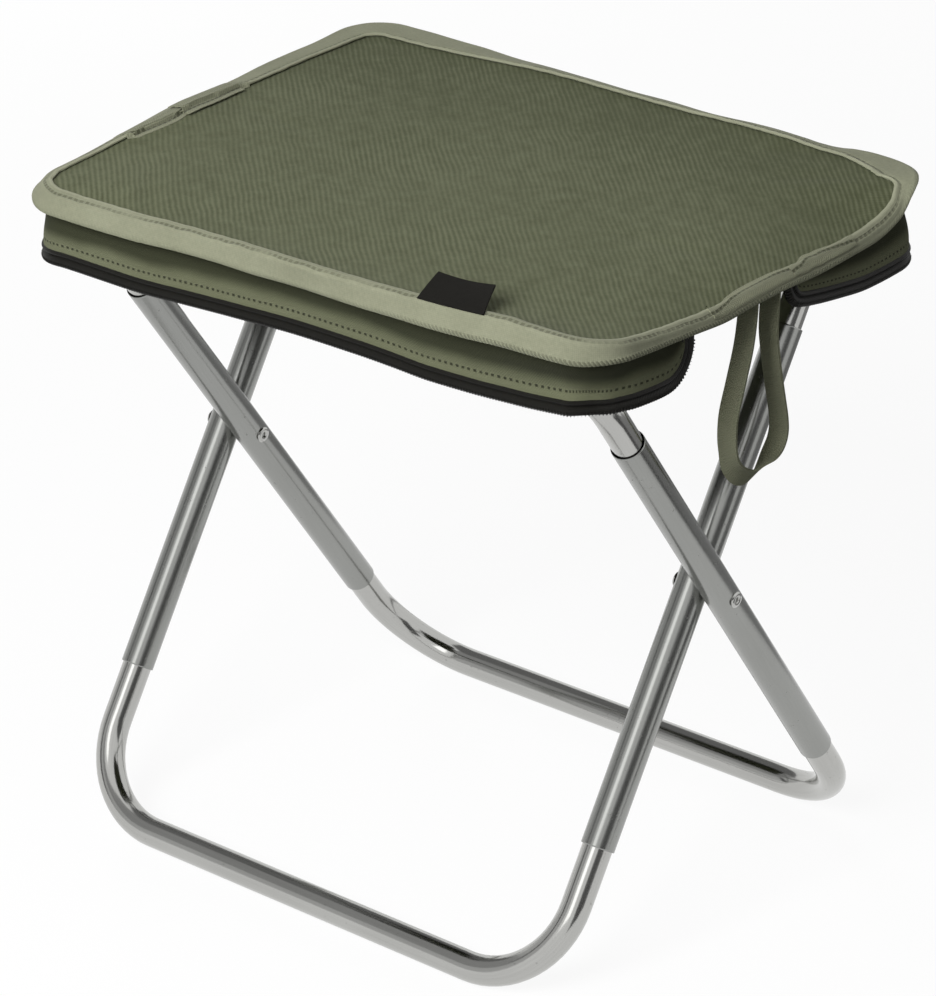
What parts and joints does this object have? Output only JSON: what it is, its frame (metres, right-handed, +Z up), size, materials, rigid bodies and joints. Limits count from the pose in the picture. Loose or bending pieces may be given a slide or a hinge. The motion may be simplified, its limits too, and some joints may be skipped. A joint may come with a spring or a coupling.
{
  "type": "folding stool",
  "caption": "Folding stool: crossed U-shaped tube frames riveted as scissors, canvas seat that folds in the middle into a zipped pouch, webbing pull loops.",
  "frame": {"origin": "on the floor under the middle of the seat, with the stool open and standing", "axes": "+X along the seat's tubes to the sitter's side, +Y to the back frame's top bar, +Z up"},
  "size_m": [0.3414, 0.259, 0.3529],
  "materials": {
    "tube": "bright plated steel tube",
    "sleeve": "satin grey steel tube",
    "rivet": "tubular steel rivet",
    "canvas": "olive green woven canvas with a fine rib",
    "binding": "light olive binding tape, stitched",
    "webbing": "olive webbing",
    "zip": "black zip tape with a coil",
    "slider": "black coated zip slider",
    "label": "black woven label, blank"
  },
  "bodies": {
    "back_frame": {"back_left_sleeve": "sleeve", "back_right_sleeve": "sleeve", "back_seat_tube": "tube", "left_rivet": "rivet", "right_rivet": "rivet", "back_tunnel": "canvas"},
    "front_frame": {"front_left_sleeve": "sleeve", "front_right_sleeve": "sleeve", "front_seat_tube": "tube", "front_tunnel": "canvas"},
    "front_foot": {"front_foot_tube": "tube"},
    "back_foot": {"back_foot_tube": "tube"},
    "back_half": {"back_canvas": "canvas", "back_binding": "binding", "back_skirt": "canvas", "back_zip": "zip", "zip_slider": "slider"},
    "spine": {"spine_canvas": "canvas", "left_spine_binding": "binding", "right_spine_binding": "binding", "left_spine_patch": "webbing", "right_spine_patch": "webbing"},
    "front_half": {"front_canvas": "canvas", "front_binding": "binding", "front_skirt": "canvas", "front_zip": "zip", "label": "label"},
    "right_loop": {"right_pull_loop": "webbing"},
    "left_loop": {"left_pull_loop": "webbing"},
    "zip_tab": {"zip_pull": "slider"}
  },
  "joints": [
    {"name": "frame_fold", "type": "hinge", "parent": "back_frame", "child": "front_frame", "pos_m": [-0.005, -0.005, 0.17098], "axis": [-1, 0, 0], "range_deg": [0, 53.78]},
    {"name": "back_crease", "type": "hinge", "parent": "back_frame", "child": "back_half", "pos_m": [-0.005, 0.10198, 0.32728], "axis": [-1, 0, 0], "range_deg": [0, 111.12], "deforming": ["back_binding", "back_skirt", "back_zip"]},
    {"name": "spine_crease", "type": "hinge", "parent": "back_half", "child": "spine", "pos_m": [0, 0.01915, 0.33508], "axis": [1, 0, 0], "range_deg": [0, 84.23], "deforming": ["left_spine_binding", "right_spine_binding", "left_spine_patch", "right_spine_patch"]},
    {"name": "front_crease", "type": "hinge", "parent": "spine", "child": "front_half", "pos_m": [0, -0.02915, 0.33508], "axis": [1, 0, 0], "range_deg": [0, 84.23], "deforming": ["front_binding", "front_skirt", "front_zip"]},
    {"name": "right_loop_lift", "type": "hinge", "parent": "spine", "child": "right_loop", "pos_m": [0.169, -0.007, 0.325], "axis": [0, -1, 0], "range_deg": [0, 170]},
    {"name": "left_loop_lift", "type": "hinge", "parent": "spine", "child": "left_loop", "pos_m": [-0.169, -0.007, 0.325], "axis": [0, 1, 0], "range_deg": [0, 170]},
    {"name": "front_foot_pull", "type": "slide", "parent": "back_frame", "child": "front_foot", "axis": [0, -0.5648, -0.8252], "range_m": [0, 0.036]},
    {"name": "back_foot_pull", "type": "slide", "parent": "front_frame", "child": "back_foot", "axis": [0, 0.5648, -0.8252], "range_m": [0, 0.036]},
    {"name": "zip_tab_swing", "type": "hinge", "parent": "back_half", "child": "zip_tab", "pos_m": [-0.1689, 0.043, 0.29399], "axis": [0, 1, 0], "range_deg": [0, 110]}
  ],
  "couplings": [
    {"joint": "back_crease", "follows": "frame_fold", "ratio": 2.0661},
    {"joint": "spine_crease", "follows": "frame_fold", "ratio": 1.5661},
    {"joint": "front_crease", "follows": "frame_fold", "ratio": 1.5661},
    {"joint": "right_loop_lift", "follows": "frame_fold", "ratio": 3.161},
    {"joint": "left_loop_lift", "follows": "frame_fold", "ratio": 3.161}
  ]
}
